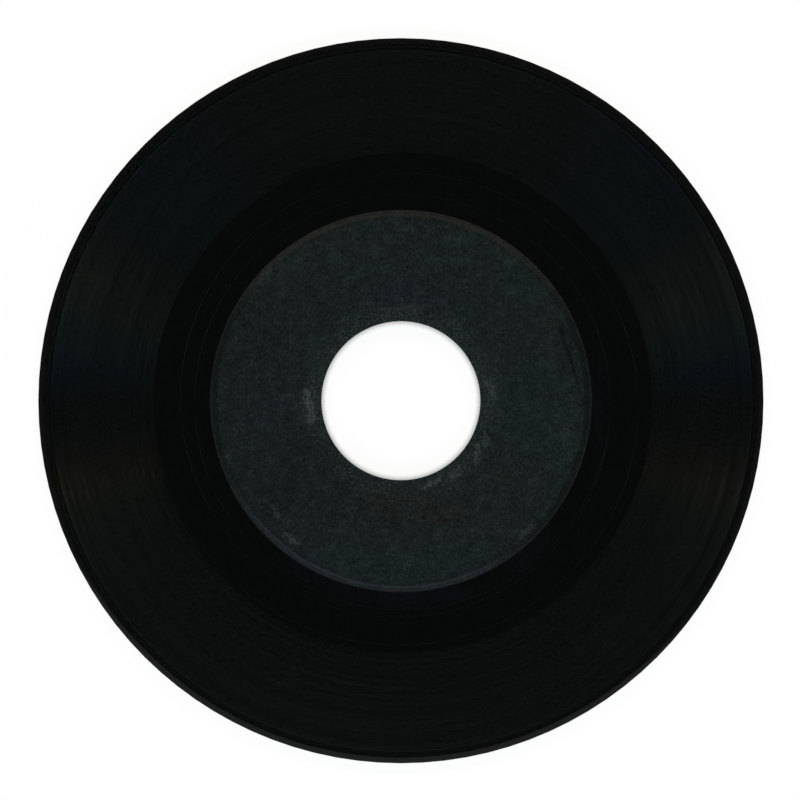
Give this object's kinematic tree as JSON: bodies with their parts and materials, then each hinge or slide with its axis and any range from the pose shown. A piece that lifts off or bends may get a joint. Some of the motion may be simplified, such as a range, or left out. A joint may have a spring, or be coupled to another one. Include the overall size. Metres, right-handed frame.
{
  "type": "vinyl record",
  "caption": "Small flat vinyl record with a large centre hole, a raised blank paper label and a spiral groove on each face.",
  "frame": {"origin": "on the disc's axis, at its lower face, which is the flat part of the lower label", "axes": "+Z along the axis of the disc, towards side A; X and Y lie in the plane of the disc"},
  "size_m": [0.1746, 0.1746, 0.002],
  "materials": {
    "vinyl": "pressed black vinyl, glossy, with light scuffs",
    "label_paper": "uncoated dark slate paper, slightly mottled and worn round the hole"
  },
  "bodies": {
    "root": {"vinyl_disc": "vinyl", "label_side_a": "label_paper", "label_side_b": "label_paper"}
  },
  "joints": []
}
